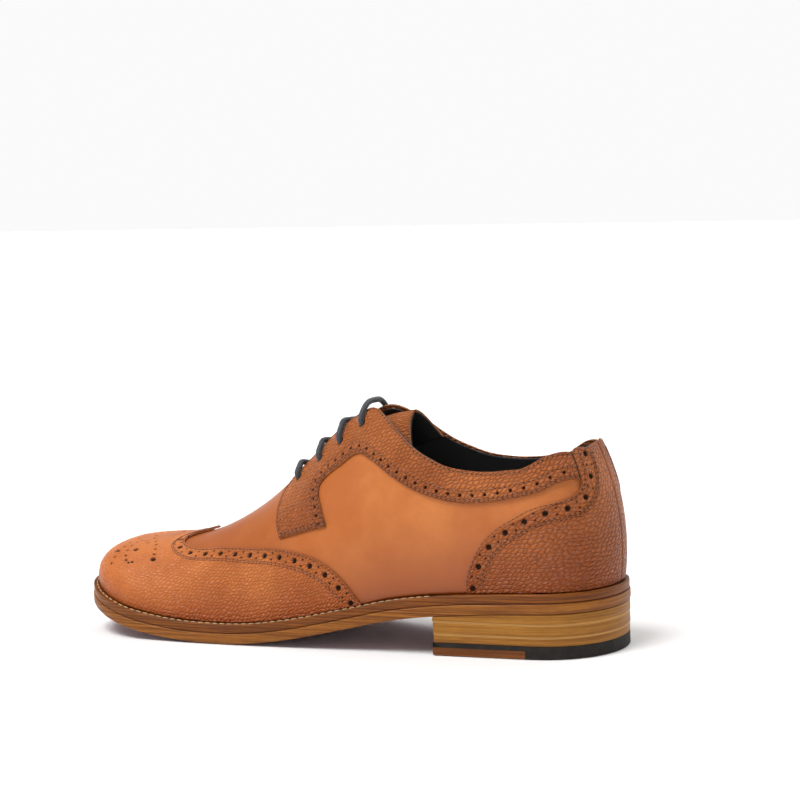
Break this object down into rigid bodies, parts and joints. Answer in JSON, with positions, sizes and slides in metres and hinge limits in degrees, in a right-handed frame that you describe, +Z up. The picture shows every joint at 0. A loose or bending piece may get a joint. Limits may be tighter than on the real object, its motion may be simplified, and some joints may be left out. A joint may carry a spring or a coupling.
{
  "type": "leather derby shoe",
  "caption": "Left wing-tip brogue derby shoe in tan leather with a closed lacing, a welted leather sole, a stacked heel and a hinged tongue.",
  "frame": {"origin": "middle of the shoe's bounding box, on the floor the heel and the ball stand on", "axes": "+Z up, toe towards -X, outer (lateral) side towards -Y"},
  "size_m": [0.3029, 0.1054, 0.1248],
  "materials": {
    "sole_leather": "satin, burgundy",
    "welt_leather": "satin, brown",
    "welt_thread": "waxed thread",
    "insole_leather": "matt",
    "cork": "matt cork",
    "steel": "spring steel",
    "heel_leather": "burnished edge",
    "rubber": "matt",
    "insert_leather": "burnished edge",
    "brass": "nail",
    "lining_leather": "matt black",
    "smooth_leather": "polished tan",
    "grained_leather": "pebble grain, tan",
    "stiffener_board": "stiffened board",
    "lace_cotton": "woven, dark grey"
  },
  "bodies": {
    "shoe": {"outsole": "sole_leather", "welt": "welt_leather", "welt_stitches": "welt_thread", "insole": "insole_leather", "insole_rib": "insole_leather", "cork_filler": "cork", "shank": "steel", "heel_lift_1": "heel_leather", "heel_lift_2": "heel_leather", "heel_lift_3": "heel_leather", "top_lift_rubber": "rubber", "top_lift_leather": "insert_leather", "heel_nails": "brass", "sock_lining": "lining_leather", "vamp": "smooth_leather", "wing_cap": "grained_leather", "facing_lateral": "grained_leather", "facing_medial": "grained_leather", "counter_lateral": "grained_leather", "counter_medial": "grained_leather", "toe_puff": "stiffener_board", "heel_stiffener": "stiffener_board", "vamp_lining": "lining_leather", "quarter_lining_lateral": "lining_leather", "quarter_lining_medial": "lining_leather", "eyelet_stay_lateral": "stiffener_board", "eyelet_stay_medial": "stiffener_board", "lace": "lace_cotton"},
    "tongue": {"tongue_outer": "grained_leather", "tongue_lining": "lining_leather"}
  },
  "joints": [
    {"name": "tongue_fold", "type": "hinge", "parent": "shoe", "child": "tongue", "pos_m": [-0.0454, 0.006, 0.0705], "axis": [0, 1, 0], "range_deg": [0, 15], "stiffness_Nm_per_rad": 0.3}
  ]
}
